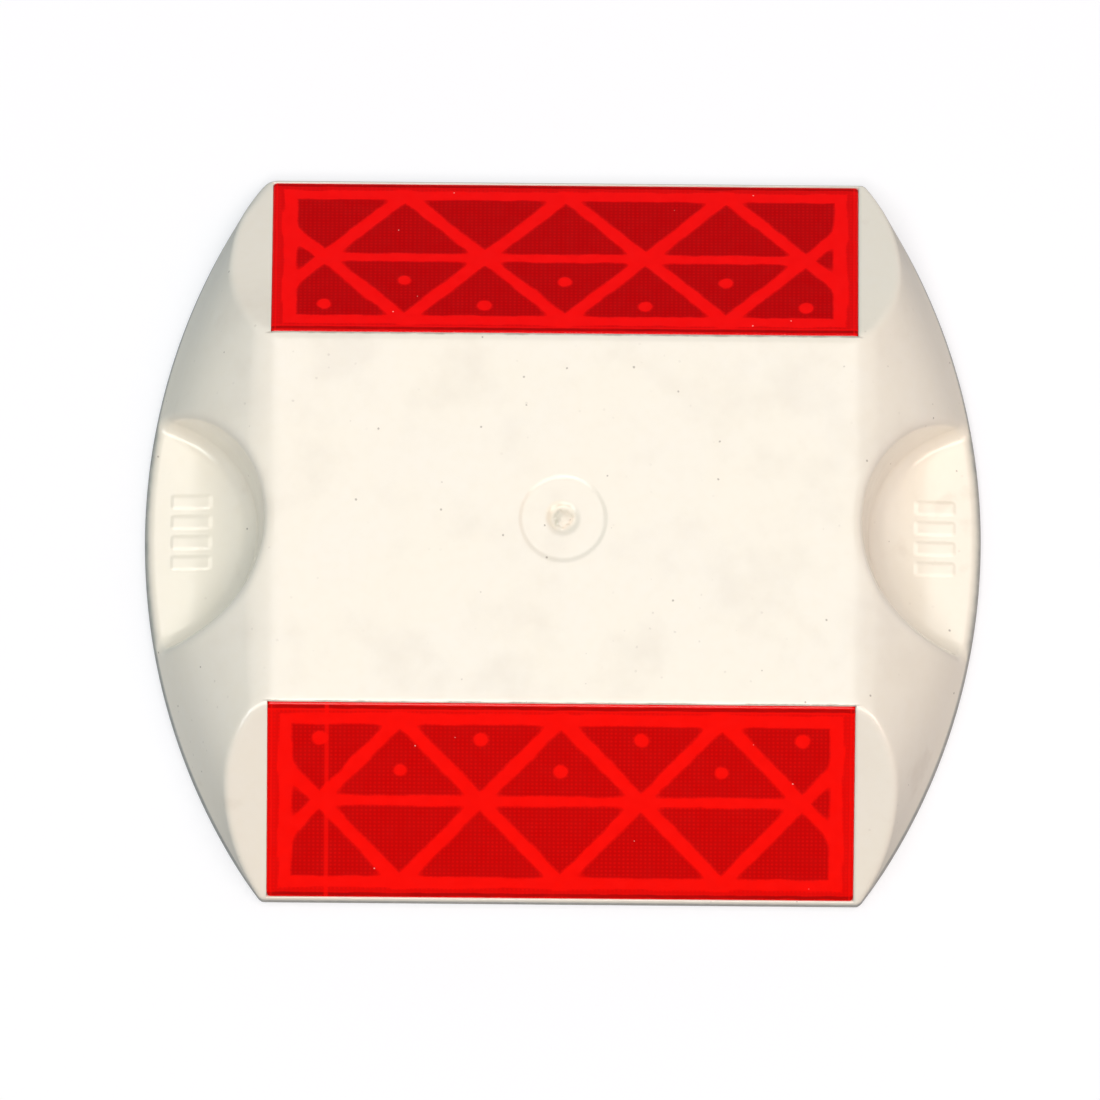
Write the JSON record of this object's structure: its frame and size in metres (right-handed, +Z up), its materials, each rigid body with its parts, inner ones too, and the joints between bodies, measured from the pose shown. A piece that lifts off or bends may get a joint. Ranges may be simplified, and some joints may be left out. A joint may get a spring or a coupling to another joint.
{
  "type": "raised pavement marker",
  "caption": "Low wedge-ended road marker with a flat deck, rounded sides, finger grips and a red prismatic reflector in each end slope.",
  "frame": {"origin": "centre of the underside, on the surface that the marker is bonded to", "axes": "+Z up out of the road; +X across the marker towards one finger grip; -Y the way the front lens faces, +Y the way the rear lens faces"},
  "size_m": [0.1016, 0.0888, 0.0178],
  "materials": {
    "shell": "cream-white moulded plastic, satin",
    "filling": "mineral-filled casting resin, dull grey",
    "grit": "coarse sand bonded into the resin",
    "lens": "clear red moulded reflector, polished face"
  },
  "bodies": {
    "root": {"body_shell": "shell", "filling_core": "filling", "base_grit": "grit", "front_lens": "lens", "rear_lens": "lens"}
  },
  "joints": []
}
